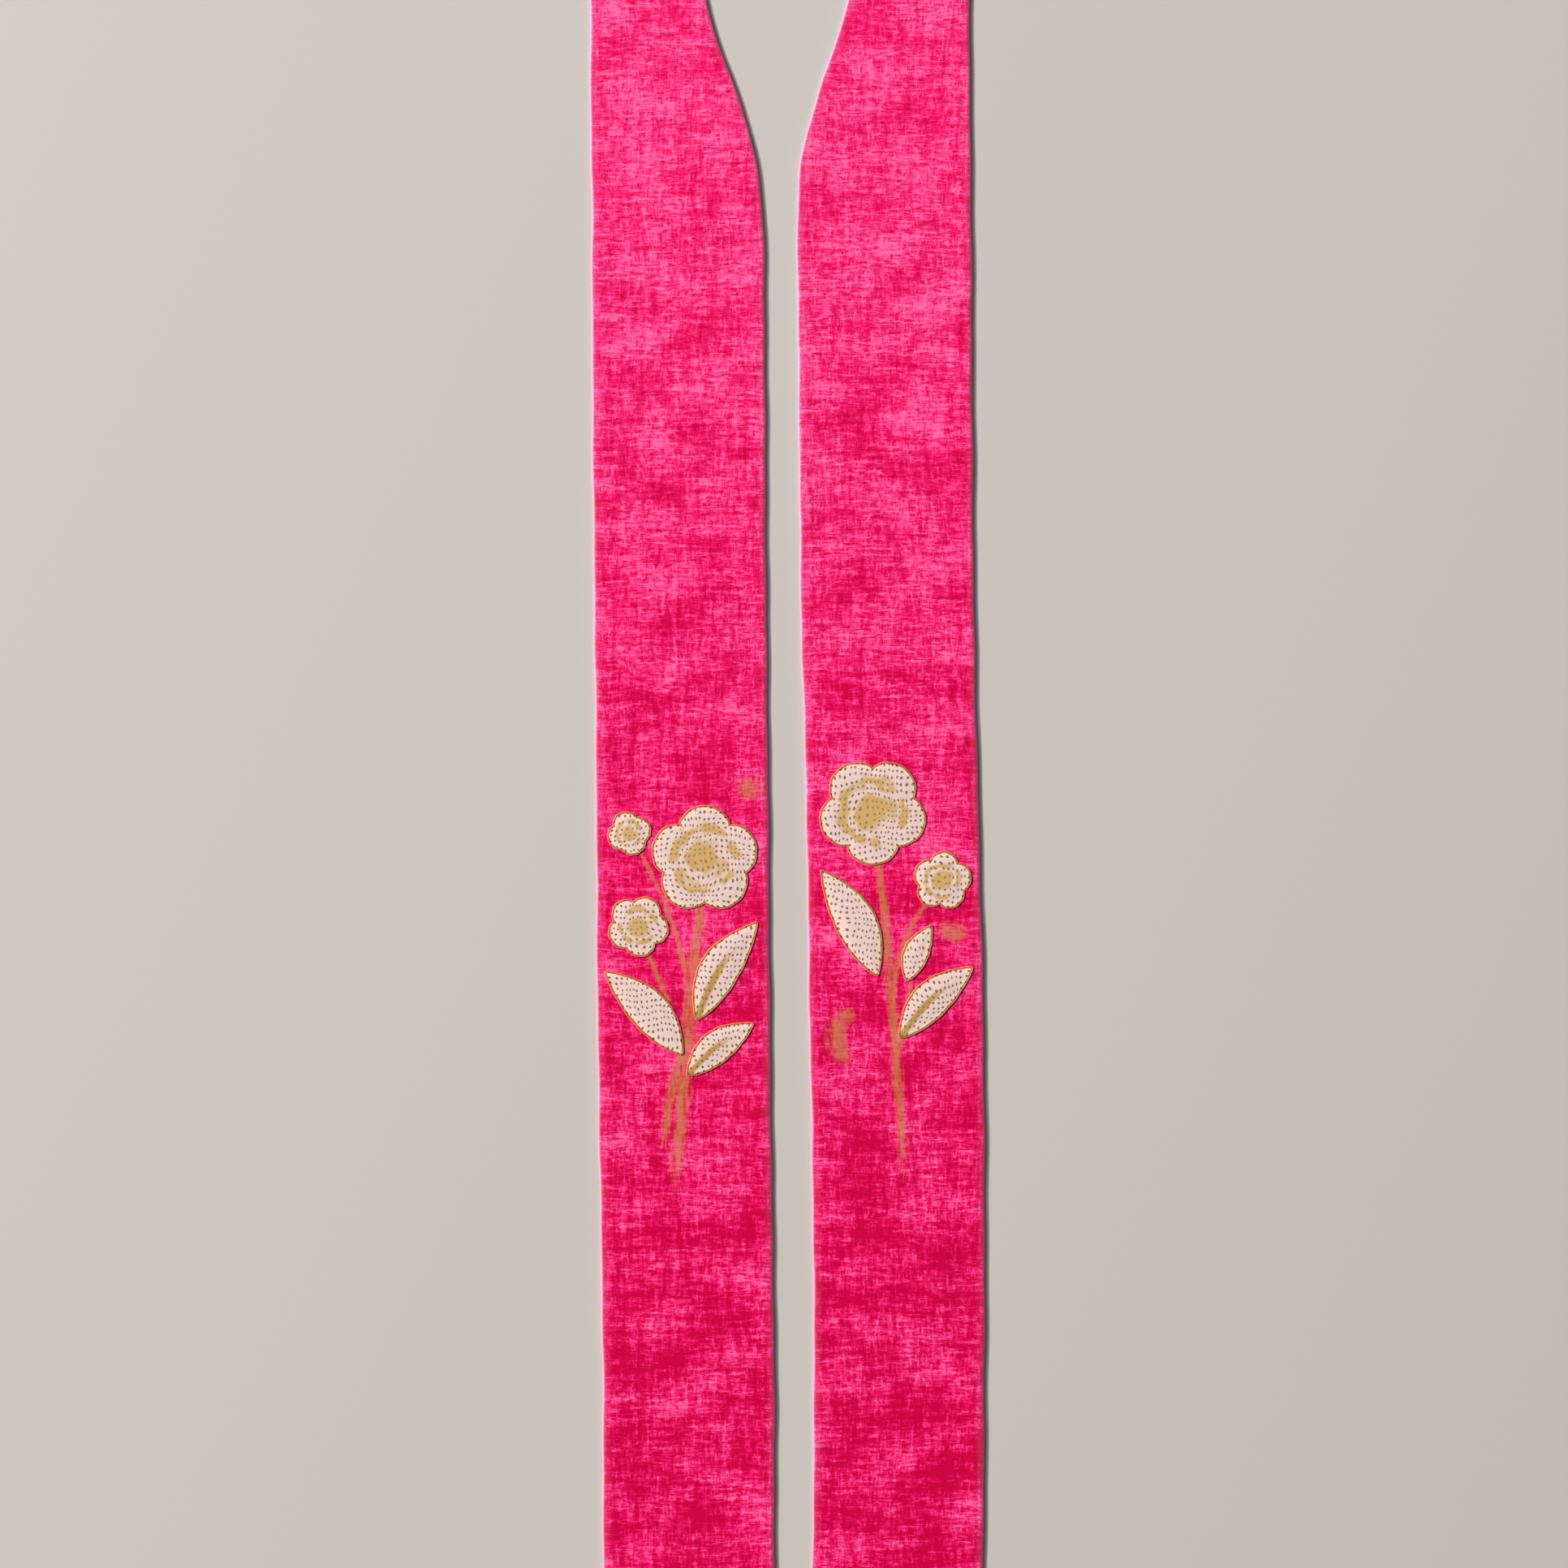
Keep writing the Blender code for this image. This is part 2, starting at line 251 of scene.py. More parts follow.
def close_grid(piece, merge):
    """Joins a bent grid where its edges meet, into one smooth closed piece that faces outwards."""
    bpy.ops.object.mode_set(mode="EDIT")
    bpy.ops.mesh.select_all(action="SELECT")
    bpy.ops.mesh.remove_doubles(threshold=merge)
    bpy.ops.mesh.normals_make_consistent(inside=False)
    bpy.ops.object.mode_set(mode="OBJECT")
    piece.data.shade_smooth()


def wobble(waves, along):
    return WOBBLE * sum(np.sin(along / wave.length + wave.shift) for wave in waves)


def edges_at(side, station):
    """How far a half's two edges lie from the neck's centre or middle line, along the half."""
    on_ring = station < RING_LENGTH
    below = np.maximum(station - RING_LENGTH, 0.0)
    inner, outer = both_edges(side, below)
    inner = np.where(on_ring, NECK_INNER, inner)
    outer = np.where(on_ring, NECK_OUTER, outer)
    to_hem = HALF_LENGTH - station
    round_in = np.clip(CORNER_RADIUS - to_hem, 0.0, CORNER_RADIUS)
    inset = CORNER_RADIUS - np.sqrt(CORNER_RADIUS**2 - round_in**2)
    steady = ramp(station, WOBBLE_START, WOBBLE_FULL) * ramp(to_hem, WOBBLE_START, WOBBLE_FULL)
    inner = inner + inset + steady * wobble(INNER_WAVES, station)
    outer = outer - inset - steady * wobble(OUTER_WAVES, station)
    return inner, outer


def place_across(column, columns, width):
    """How far a half's points lie from its inner fold, and which of them are on its upper face."""
    # Columns 0 to half the count cross the top from the inner fold, and the rest come back below
    upper = column <= columns // 2
    mirrored = np.where(upper, column, columns - column)
    from_far = np.minimum(mirrored, columns // 2 - mirrored)
    fan = len(edge_steps)
    edge_place = edge_steps[np.minimum(from_far, fan - 1)]
    edge_place = np.where(mirrored <= columns // 4, edge_place, width - edge_place)
    share = (mirrored - (fan - 1)) / (columns // 2 - 2 * (fan - 1))
    middle_place = edge_steps[-1] + share * (width - 2 * edge_steps[-1])
    return np.where(from_far < fan, edge_place, middle_place), upper


def lay_out_strips(mesh):
    """Turns the grid's own UV map into strips of the top above strips of the underside."""
    uv_map = mesh.uv_layers[0]
    uv_map.name = "OFBake"
    corners = np.zeros(len(mesh.loops) * 2)
    uv_map.data.foreach_get("uv", corners)
    corners = corners.reshape(-1, 4, 2)
    centres = corners.mean(axis=1, keepdims=True)
    below_side = centres[..., 0] > 0.5
    across = np.where(below_side, 2 - 2 * corners[..., 0], 2 * corners[..., 0])
    strip = np.floor(centres[..., 1] * UV_STRIPS)
    down = corners[..., 1] * UV_STRIPS - strip
    inside = 1 - 2 * UV_MARGIN
    corners[..., 0] = (strip + UV_MARGIN + inside * across) / UV_STRIPS
    low = np.where(below_side, UV_MARGIN, UV_TOP_START)
    tall = np.where(below_side, UV_TOP_START - 2 * UV_MARGIN, 1 - UV_TOP_START - UV_MARGIN)
    corners[..., 1] = low + tall * down
    uv_map.data.foreach_set("uv", corners.ravel())


def make_half(side):
    """A grid wrapped round the flat cloth: columns run round the section, rows along the half."""
    columns = 2 * (2 * len(edge_steps) + MIDDLE_COLUMNS - 1)
    half, column, row = grid_piece(side + "_half_cloth", columns, len(half_stations) - 1)
    station = half_stations[row]
    inner, outer = edges_at(side, station)
    width = outer - inner
    place, upper = place_across(column, columns, width)
    reach = inner + place
    angle = np.minimum(station, RING_LENGTH) / RING_RADIUS
    below = np.maximum(station - RING_LENGTH, 0.0)
    to_hem = HALF_LENGTH - station

    # The halves keep a hair apart where their seam is
    x = NECK_X + DIRECTION[side] * (reach * np.sin(angle) + SEAM_HALF_GAP * (angle < 1.0))
    y = NECK_Y + reach * np.cos(angle) - below
    top, under = cloth_heights(x, y, station, place, width, np.minimum(to_hem, station))
    placed = np.stack([x, y, np.where(upper, top, under)], axis=1)
    half.data.vertices.foreach_set("co", placed.ravel())
    store(half.data, "from_fold", np.minimum(np.minimum(place, width - place), to_hem))
    lay_out_strips(half.data)
    close_grid(half, CLOTH_MERGE)
    return half


halves = {side: make_half(side) for side in DIRECTION}


# The painted stems: a dry brush of gold fabric paint drawn over the finished cloth. Each stroke
# is a curve across a front, measured from the front's middle line at the height of its spray.
SPRAY_BELOW = {"left": 0.7170, "right": 0.6907}
Stroke = namedtuple("Stroke", "side start lift pull end half_width")
STROKES = (
    Stroke("left", (-0.007, -0.172), (0.000, -0.096), (0.005, -0.030), (0.013, 0.040), 0.0056),
    Stroke("left", (0.001, -0.084), (-0.004, -0.040), (-0.018, -0.014), (-0.027, 0.006), 0.0024),
    Stroke("left", (0.004, -0.034), (-0.001, 0.016), (-0.016, 0.046), (-0.032, 0.074), 0.0020),
    Stroke("left", (-0.013, -0.140), (-0.012, -0.112), (-0.008, -0.086), (0.004, -0.056), 0.0036),
    Stroke("left", (0.042, 0.104), (0.046, 0.110), (0.046, 0.118), (0.043, 0.124), 0.0082),
    Stroke("right", (0.006, -0.188), (0.002, -0.096), (-0.004, -0.026), (-0.012, 0.044), 0.0042),
    Stroke("right", (0.001, -0.104), (0.008, -0.070), (0.010, -0.052), (0.013, -0.038), 0.0022),
    Stroke("right", (-0.001, -0.060), (0.002, -0.020), (0.014, 0.004), (0.028, 0.012), 0.0022),
    Stroke("right", (-0.024, -0.101), (-0.045, -0.102), (-0.046, -0.070), (-0.025, -0.066), 0.0078),
    Stroke("right", (0.031, -0.016), (0.037, -0.009), (0.044, -0.011), (0.050, -0.018), 0.0086),
)
STROKE_POINTS = 60
STROKE_FAR = 9.0
STROKE_START = 0.012
STROKE_FINISH = 0.006
STROKE_FADE = 0.25
# A stroke's width at its ends and its strength at its start, as shares of its fullest
STROKE_END_WIDTH = 0.55
STROKE_FULLNESS = 0.6
STROKE_FAINT = 0.4


def front_middle(side):
    """The middle of a front at the height of its spray, on the ground plan."""
    below = SPRAY_BELOW[side]
    inner, outer = both_edges(side, below)
    return np.array([NECK_X + DIRECTION[side] * (inner + outer) / 2, NECK_Y - below])


def stroke_path(stroke):
    t = np.linspace(0, 1, STROKE_POINTS)[:, None]
    curve = (1 - t) ** 3 * np.array(stroke.start) + 3 * (1 - t) ** 2 * t * np.array(stroke.lift)
    curve = curve + 3 * (1 - t) * t**2 * np.array(stroke.pull) + t**3 * np.array(stroke.end)
    return curve + front_middle(stroke.side)


def mark_stroke(half, name, stroke):
    """Stores on the cloth where each point lies along and across a brush stroke."""
    spots = points_of(half.data)
    path = stroke_path(stroke)
    steps = np.diff(path, axis=0)
    lengths = np.linalg.norm(steps, axis=1)
    starts = np.concatenate([[0.0], np.cumsum(lengths)])
    best = np.full(len(spots), 1.0)
    along = np.zeros(len(spots))
    across = np.full(len(spots), 1.0)
    for index, (step, length) in enumerate(zip(steps, lengths)):
        away = spots[:, :2] - path[index]
        share = np.clip(away @ step / length**2, 0.0, 1.0)
        offset = away - share[:, None] * step
        distance = np.linalg.norm(offset, axis=1)
        nearer = distance < best
        best = np.where(nearer, distance, best)
        side = np.sign(step[0] * offset[:, 1] - step[1] * offset[:, 0])
        along = np.where(nearer, starts[index] + share * length, along)
        across = np.where(nearer, side * distance, across)
    total = starts[-1]
    swell = np.sin(math.pi * np.clip(along / total, 0, 1)) ** STROKE_FULLNESS
    across = across / (stroke.half_width * (STROKE_END_WIDTH + (1 - STROKE_END_WIDTH) * swell))
    strength = STROKE_FAINT + (1 - STROKE_FAINT) * ramp(along, 0.0, STROKE_FADE * total)
    strength = strength * ramp(along, 0.0, min(STROKE_START, STROKE_FADE * total))
    strength = strength * ramp(total - along, 0.0, min(STROKE_FINISH, STROKE_FADE * total))
    across = np.where(spots[:, 2] > FOLD_MIDDLE, np.clip(across, -STROKE_FAR, STROKE_FAR), STROKE_FAR)
    store(half.data, name, np.stack([along, across, strength], axis=1))


stroke_names = {side: [] for side in DIRECTION}
for stroke in STROKES:
    stroke_name = "stem_stroke_" + str(len(stroke_names[stroke.side]) + 1)
    mark_stroke(halves[stroke.side], stroke_name, stroke)
    stroke_names[stroke.side].append(stroke_name)


def linear(hex_colour):
    """An sRGB hex colour as linear red, green, blue and an alpha of 1."""
    values = [int(hex_colour[index : index + 2], 16) / 255 for index in (1, 3, 5)]
    return (*((v / 12.92 if v <= 0.04045 else ((v + 0.055) / 1.055) ** 2.4) for v in values), 1.0)


def add(tree, kind, inputs, **settings):
    """Adds a shader node with its settings, and fills its inputs or links them to other nodes."""
    made = tree.nodes.new("ShaderNode" + kind)
    for name, value in settings.items():
        setattr(made, name, value)
    for name, value in inputs.items():
        if isinstance(value, bpy.types.Node):
            value = next(socket for socket in value.outputs if socket.enabled)
        if isinstance(value, bpy.types.NodeSocket):
            tree.links.new(value, made.inputs[name])
        else:
            made.inputs[name].default_value = value
    return made


# Linen-look cotton: a smooth quilting cotton printed with a mottled pink ground and a scratchy
# crosshatch of paler thread marks, so it reads as slubby linen. Woven, matt, with a slight
# sheen on its folds. The thread marks are 1.0 to 1.5 mm thick and 5 to 17 mm long.
PINKS = ((0.19, "#CA0042"), (0.34, "#E20E5C"), (0.50, "#F22272"), (0.66, "#F9448C"), (0.92, "#FF6CAA"))
# The pale pink painted along the folds as a highlight
FOLD_HIGHLIGHT_PINK = "#FFB0D2"
GOLD_ON_PINK = "#BE8440"
MM = 1000.0
# How much the pink is painted paler at the neck and deeper at the hems, a painted shade for the light
# falling off down the stole, and how much bolder the print's patches grow
PAINTED_HEM_SHADE = 0.24
PATCHES_AT_HEM = 1.30
GROUND_TONE = 0.492

# What the print is made of: the size in millimetres, the detail and the shift of each noise
Mark = namedtuple("Mark", "size detail shift")
MARKS = {
    "blotches": Mark((44.0, 30.0, 40.0), 0.0, (0.0, 0.0, 0.0)),
    "weft_patches": Mark((36.0, 5.2, 20.0), 2.0, (13.0, 4.0, 0.0)),
    "warp_patches": Mark((5.6, 32.0, 20.0), 2.0, (2.0, 9.0, 0.0)),
    "weft_blocks": Mark((16.0, 2.4, 20.0), 1.0, (5.0, 12.0, 0.0)),
    "warp_blocks": Mark((2.6, 14.0, 20.0), 1.0, (7.0, 3.0, 0.0)),
    "weft_marks": Mark((6.2, 1.5, 10.0), 1.0, (9.0, 1.0, 0.0)),
    "warp_marks": Mark((1.3, 5.4, 10.0), 1.0, (4.0, 8.0, 0.0)),
    "slub_marks": Mark((17.0, 1.1, 10.0), 1.0, (3.0, 7.0, 0.0)),
    "dark_ends": Mark((6.0, 1.0, 10.0), 1.0, (21.0, 14.0, 0.0)),
    "specks": Mark((1.6, 1.3, 10.0), 1.0, (6.0, 17.0, 0.0)),
    "weft_threads": Mark((3.0, 0.55, 3.0), 1.0, (0.0, 0.0, 0.0)),
    "warp_threads": Mark((0.55, 3.0, 3.0), 1.0, (0.0, 0.0, 0.0)),
}


def blank_material(name):
    """A new material and its empty tree of shader nodes."""
    material = bpy.data.materials.new(name)
    material.use_nodes = True
    material.node_tree.nodes.clear()
    return material, material.node_tree


def thread_marks(tree, place, size, detail, shift=(0.0, 0.0, 0.0)):
    """Soft marks of a size given in millimetres, as a noise between 0 and 1."""
    scaled = add(tree, "Mapping", {"Vector": place, "Location": shift, "Scale": [1 / s for s in size]})
    return add(tree, "TexNoise", {"Vector": scaled, "Scale": 1.0, "Detail": detail, "Roughness": 0.6})


def blended(tree, start, parts):
    """Start, plus weight times value less a half, for each pair of weight and value."""
    total = start
    for weight, value in parts:
        centred = add(tree, "Math", {0: value, 1: 0.5}, operation="SUBTRACT")
        total = add(tree, "Math", {0: centred, 1: weight, 2: total}, operation="MULTIPLY_ADD")
    return total


def eased(tree, value, low, high, start=0.0, end=1.0):
    """A value's place between low and high, eased at both ends, as a number from start to end."""
    inputs = {"Value": value, "From Min": low, "From Max": high, "To Min": start, "To Max": end}
    return add(tree, "MapRange", inputs, interpolation_type="SMOOTHSTEP")


def wandering(tree, place, reach, amount):
    """Places in millimetres that drift by up to an amount, so that threads don't run dead straight."""
    scaled = add(tree, "Mapping", {"Vector": place, "Scale": [1 / reach] * 3})
    noise = add(tree, "TexNoise", {"Vector": scaled, "Scale": 1.0, "Detail": 0.0})
    about_zero = {0: noise.outputs["Color"], 1: (0.5, 0.5, 0.5)}
    drift = add(tree, "VectorMath", about_zero, operation="SUBTRACT")
    moved = {0: drift, 1: (amount, amount, 0.0), 2: place}
    return add(tree, "VectorMath", moved, operation="MULTIPLY_ADD")


def dry_brushed(tree, covered, breaks, fully, most, edge):
    """How much paint a dry brush leaves, its cover broken up by pairs of weight and noise."""
    paint = eased(tree, blended(tree, covered, breaks), 0.10, fully, 0.0, most)
    present = eased(tree, covered, 0.0, edge)
    return add(tree, "Math", {0: paint, 1: present}, operation="MULTIPLY")


def print_tone(tree, marks, along_y):
    """Where each spot of the print lies between its deepest and its palest pink."""
    weft = eased(tree, marks["weft_marks"], 0.34, 0.74)
    warp = eased(tree, marks["warp_marks"], 0.36, 0.74)
    crossed = add(tree, "Math", {0: weft, 1: warp}, operation="MAXIMUM")
    slubs = eased(tree, marks["slub_marks"], 0.60, 0.74, 0.5, 1.5)
    dark_dashes = eased(tree, marks["dark_ends"], 0.54, 0.68, 0.5, 1.5)
    scratches = [(0.44, crossed), (0.18, slubs), (-0.26, dark_dashes), (0.40, marks["specks"])]
    scratched = blended(tree, 0.0, scratches)
    patches = [(0.50, marks["blotches"]), (0.62, marks["weft_patches"]), (0.54, marks["warp_patches"])]
    blocks = [(0.42, marks["weft_blocks"]), (0.38, marks["warp_blocks"])]
    ground = blended(tree, GROUND_TONE, patches + blocks)
    # The marks thin out where the print is deepest, so those patches look plain
    marked = eased(tree, ground, 0.28, 0.56, 0.55, 1.0)

    # Painted shade: the pink is paler at the neck and deeper towards the hems, standing in for the light
    # falling off down the stole. The print's patches also grow bolder towards the hems
    hem_y = -HEM_BELOW / 2
    painted_hem_shade = eased(tree, along_y, hem_y, -hem_y, -0.5 * PAINTED_HEM_SHADE, 0.5 * PAINTED_HEM_SHADE)
    bolder = eased(tree, along_y, hem_y, -hem_y, PATCHES_AT_HEM, 1.0)
    ground = blended(tree, 0.5, [(bolder, ground)])
    tone = add(tree, "Math", {0: scratched, 1: marked, 2: ground}, operation="MULTIPLY_ADD")
    return add(tree, "Math", {0: tone, 1: painted_hem_shade}, operation="ADD")


def print_colour(tree, tone):
    colours = add(tree, "ValToRGB", {"Fac": tone})
    stops = colours.color_ramp.elements
    for position, colour in PINKS:
        stops.new(position).color = linear(colour)
    # The ramp's own two ends go
    stops.remove(stops[0])
    stops.remove(stops[len(PINKS)])
    return colours


def stem_paint(tree, marks, stroke_name):
    """How much gold a stroke leaves: its bristle lines run along it and its sides are ragged."""
    place = add(tree, "Attribute", {}, attribute_name=stroke_name).outputs["Vector"]
    parts = add(tree, "SeparateXYZ", {"Vector": place})
    # Streaks 20 mm long, and six of them across a stroke
    streak_place = add(tree, "Mapping", {"Vector": place, "Scale": (MM / 20.0, 3.2, 0.0)})
    streak_inputs = {"Vector": streak_place, "Scale": 1.0, "Detail": 2.0, "Roughness": 0.6}
    streaks = add(tree, "TexNoise", streak_inputs)
    off_middle = add(tree, "Math", {0: parts.outputs["Y"]}, operation="ABSOLUTE")
    body = eased(tree, off_middle, 0.0, 1.7, 1.0, 0.0)
    covered = add(tree, "Math", {0: body, 1: parts.outputs["Z"]}, operation="MULTIPLY")
    threads = [(0.9, marks["weft_marks"]), (0.7, marks["warp_marks"]), (1.2, marks["warp_patches"])]
    return dry_brushed(tree, covered, [(1.5, streaks)] + threads, 1.40, 0.76, 0.12)


def linen_cotton(name, stroke_attributes, print_shift):
    material, tree = blank_material(name)
    place = add(tree, "TexCoord", {}).outputs["Object"]
    mapped = add(tree, "Mapping", {"Vector": place, "Location": print_shift, "Scale": (MM, MM, MM)})
    mm = wandering(tree, mapped, 90.0, 5.0)
    marks = {kind: thread_marks(tree, mm, *mark) for kind, mark in MARKS.items()}
    along_y = add(tree, "SeparateXYZ", {"Vector": place}).outputs["Y"]
    cloth_colour = print_colour(tree, print_tone(tree, marks, along_y))

    # Painted highlight: the pink turns pale at every fold, strongly within 1.7 mm and faintly out to 7
    # mm, standing in for the shine of light on the pressed folds
    from_fold = add(tree, "Attribute", {}, attribute_name="from_fold").outputs["Fac"]
    painted_fold_highlight = eased(tree, from_fold, 0.0, 0.0017, 0.65, 0.0)
    broad = eased(tree, from_fold, 0.0, 0.0070, 0.07, 0.0)
    pale = add(tree, "Math", {0: painted_fold_highlight, 1: broad}, operation="ADD")
    painted_fold_highlight_inputs = {"Factor": pale, "A": cloth_colour, "B": linear(FOLD_HIGHLIGHT_PINK)}
    cloth_colour = add(tree, "Mix", painted_fold_highlight_inputs, data_type="RGBA")

    # The gold paint sits on the thread tops, so the pink shows through
    for stroke_name in stroke_attributes:
        paint = stem_paint(tree, marks, stroke_name)
        mix_inputs = {"Factor": paint, "A": cloth_colour, "B": linear(GOLD_ON_PINK)}
        cloth_colour = add(tree, "Mix", mix_inputs, data_type="RGBA")

    threads = [(0.6, marks["weft_threads"]), (0.6, marks["warp_threads"]), (0.5, marks["slub_marks"])]
    relief = blended(tree, 0.0, threads)
    bump = add(tree, "Bump", {"Height": relief, "Strength": 0.25, "Distance": 0.00025})
    cloth_inputs = {
        "Base Color": cloth_colour,
        "Roughness": 0.44,
        "Specular IOR Level": 0.09,
        "Sheen Weight": 0.08,
        "Sheen Roughness": 0.30,
        "Sheen Tint": linear("#FF9DC4"),
        "Normal": bump,
    }
    add(tree, "OutputMaterial", {"Surface": add(tree, "BsdfPrincipled", cloth_inputs)})
    return material


# Where each half's print starts, in millimetres, so the two halves differ
PRINT_SHIFT = {"left": (37.0, 11.0, 0.0), "right": (410.0, 233.0, 0.0)}


def finish_piece(piece, material):
    """Gives a piece its material, and attaches it to the root body that carries it."""
    piece.data.materials.clear()
    piece.data.materials.append(material)
    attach(piece, "root")


for side, half in halves.items():
    cotton = linen_cotton("linen_look_cotton_" + side, stroke_names[side], PRINT_SHIFT[side])
    finish_piece(half, cotton)
    node_name = "stole_" + side + "_half"
    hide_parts(node_name)


# THE BLOSSOMS AND LEAVES
# Eleven shapes cut from fine white cotton printed with small grey-brown dots, and bonded to the
# fronts. Paint seals each raw edge and holds it down, so the middle stands a little proud of it.

Blossom = namedtuple("Blossom", "name side across up radius petals turn")
BLOSSOMS = (
    Blossom("left_large_blossom", "left", 0.0150, 0.0650, 0.0370, 5, 90.0),
    Blossom("left_middle_blossom", "left", -0.0310, 0.0190, 0.0210, 5, 62.0),
    Blossom("left_small_blossom", "left", -0.0370, 0.0830, 0.0150, 4, 20.0),
    Blossom("right_large_blossom", "right", -0.0150, 0.0720, 0.0370, 5, 54.0),
    Blossom("right_middle_blossom", "right", 0.0330, 0.0240, 0.0200, 5, 12.0),
)
Leaf = namedtuple("Leaf", "name side across up length width turn bend ribbed")
LEAVES = (
    Leaf("left_upper_leaf", "left", 0.0305, -0.0120, 0.0790, 0.0270, 58.0, 0.005, True),
    Leaf("left_side_leaf", "left", -0.0270, -0.0410, 0.0780, 0.0270, 133.0, -0.004, False),
    Leaf("left_lower_leaf", "left", 0.0260, -0.0660, 0.0580, 0.0220, 38.0, 0.003, True),
    Leaf("right_side_leaf", "right", -0.0310, -0.0050, 0.0820, 0.0280, 118.0, -0.004, False),
    Leaf("right_upper_leaf", "right", 0.0170, -0.0260, 0.0420, 0.0170, 66.0, 0.002, False),
    Leaf("right_lower_leaf", "right", 0.0290, -0.0600, 0.0700, 0.0250, 44.0, 0.004, True),
)
BLOSSOM_NOTCH = 0.21
PETAL_ROUNDNESS = 0.75
LEAF_FULLEST = 0.92
LEAF_TAPER = 0.85
# How far scissors stray from the drawn line
HAND_CUT = 0.00016

# Heights over the front: the bonded underside, the pressed edge, and the middle
BOND_LIFT = 0.00010
EDGE_RISE = 0.00056
MIDDLE_RISE = 0.00086
PRESSED_REACH = 0.0090
RIM_ROUND = 0.00030
RIM_MIDDLE = 0.00024
rim_steps = np.array([0.0, 0.05, 0.16, 0.35, 0.7, 1.2, 1.9, 2.7, 3.6]) / 1000

# How closely a motif's grid is spaced, and where its points lie across its underside
LARGE_BLOSSOM = 0.030
LARGE_PETAL_COLUMNS = 40
SMALL_PETAL_COLUMNS = 28
RING_STEP = 0.0016
LEAF_STATION = 0.0010
LEAF_COLUMN = 0.0014
TIP_CROWDING = 0.35
UNDER_RINGS = np.array([0.66, 0.33, 0.0])
UNDER_COLUMNS = np.array([0.05, 0.3, 0.5, 0.7, 0.95])
MOTIF_MERGE = 0.000002
DOT_PLACE = "dot_place"
PAINT_PLACE = "paint_place"


def blossom_reach(blossom, angle):
    """The distance from a blossom's centre to its edge, at angles from its first petal."""
    lobe = np.abs(np.cos(blossom.petals * angle / 2)) ** PETAL_ROUNDNESS
    stray = np.sin(7 * angle + blossom.turn) + np.sin(17 * angle + 2 * blossom.turn)
    return blossom.radius * (1 - BLOSSOM_NOTCH + BLOSSOM_NOTCH * lobe) + HAND_CUT * stray


def leaf_half_width(leaf, share):
    stray = np.sin(2 * math.pi * 5 * share + leaf.turn) * np.sin(math.pi * share)
    inside = np.clip(np.sin(math.pi * share**LEAF_FULLEST), 0.0, 1.0)
    return 0.5 * leaf.width * inside**LEAF_TAPER + HAND_CUT * stray


def turned_onto(motif, along, away):
    """Points of a motif's own plan, turned and placed on its front's ground plan."""
    turn = math.radians(motif.turn)
    centre = front_middle(motif.side) + np.array([motif.across, motif.up])
    x = centre[0] + along * math.cos(turn) - away * math.sin(turn)
    y = centre[1] + along * math.sin(turn) + away * math.cos(turn)
    return x, y


def applique_rise(to_edge):
    """The height of a motif's upper face over the front, at distances from its edge."""
    return EDGE_RISE + (MIDDLE_RISE - EDGE_RISE) * ramp(to_edge, 0.0, PRESSED_REACH)


def lay_out_faces(mesh, plan, upper):
    """Gives the top most of the UV map, and the hidden underside a corner of it."""
    uv_map = mesh.uv_layers[0]
    uv_map.name = "OFBake"
    corner_points = np.zeros(len(mesh.loops), dtype=int)
    mesh.loops.foreach_get("vertex_index", corner_points)
    shown = upper[corner_points].reshape(-1, 4).all(axis=1).repeat(4)[:, None]
    spots = np.where(shown, 0.01 + 0.78 * plan[corner_points], 0.81 + 0.18 * plan[corner_points])
    uv_map.data.foreach_set("uv", spots.ravel())


def lay_motif(piece, motif, along, away, to_edge, upper, extent, paint_place):
    """Lays a motif's grid on its front, and stores its places for the print and the paint."""
    mesh = piece.data
    x, y = turned_onto(motif, along, away)
    fullness = np.sqrt(1 - np.clip(1 - to_edge / RIM_ROUND, 0.0, 1.0) ** 2)
    top = RIM_MIDDLE + (applique_rise(to_edge) - RIM_MIDDLE) * fullness
    under = RIM_MIDDLE - (RIM_MIDDLE - BOND_LIFT) * fullness
    z = front_top(motif.side, x, y) + np.where(upper, top, under)
    mesh.vertices.foreach_set("co", np.stack([x, y, z], axis=1).ravel())
    store(mesh, DOT_PLACE, np.stack([x, y, to_edge], axis=1))
    store(mesh, PAINT_PLACE, np.stack([*paint_place, np.where(upper, 1.0, 0.0)], axis=1))
    lay_out_faces(mesh, 0.5 + np.stack([along, away], axis=1) / (2 * extent), upper)
    close_grid(piece, MOTIF_MERGE)
    return piece


def make_blossom(blossom):
    """Rings from the centre of the upper face over the rim to the centre of the underside."""
    large = blossom.radius > LARGE_BLOSSOM
    columns = blossom.petals * (LARGE_PETAL_COLUMNS if large else SMALL_PETAL_COLUMNS)
    rings = round(blossom.radius / RING_STEP)
    rim = np.concatenate([rim_steps[::-1], rim_steps[1:]])
    inset = np.concatenate([np.full(rings, rim_steps[-1]), rim, np.full(len(UNDER_RINGS), rim_steps[-1])])
    inner = np.linspace(0.0, 1.0, rings, endpoint=False)
    share = np.concatenate([inner, np.ones(len(rim)), UNDER_RINGS])
    piece, column, row = grid_piece(blossom.name + "_cloth", columns, len(inset) - 1)
    angle = 2 * math.pi * column / columns
    reach = blossom_reach(blossom, angle)
    ring_reach = (reach - inset[row]) * share[row]
    along = ring_reach * np.cos(angle)
    away = ring_reach * np.sin(angle)
    upper = row < rings + len(rim_steps)
    paint_place = (along / blossom.radius, away / blossom.radius)
    extent = blossom.radius * 1.02
    return lay_motif(piece, blossom, along, away, reach - ring_reach, upper, extent, paint_place)


